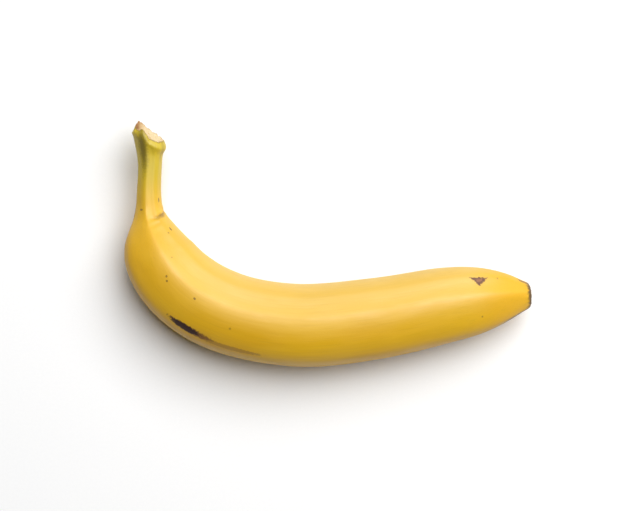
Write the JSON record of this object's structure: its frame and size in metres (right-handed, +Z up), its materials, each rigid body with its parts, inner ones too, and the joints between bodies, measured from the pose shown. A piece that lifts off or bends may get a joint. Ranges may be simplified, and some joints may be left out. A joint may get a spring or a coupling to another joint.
{
  "type": "banana",
  "caption": "Single ripe banana with a torn stem end, lying on its side: a curved tapering fruit with five soft ridges.",
  "frame": {"origin": "under the middle of the fruit's bounding box, on the surface that it lies on", "axes": "+Z up, +X from the stem end towards the blossom end, +Y from the belly towards the hollow side of the bend, where the stem points"},
  "size_m": [0.1768, 0.1058, 0.0353],
  "materials": {
    "peel": "satin"
  },
  "bodies": {
    "root": {"banana": "peel"}
  },
  "joints": []
}
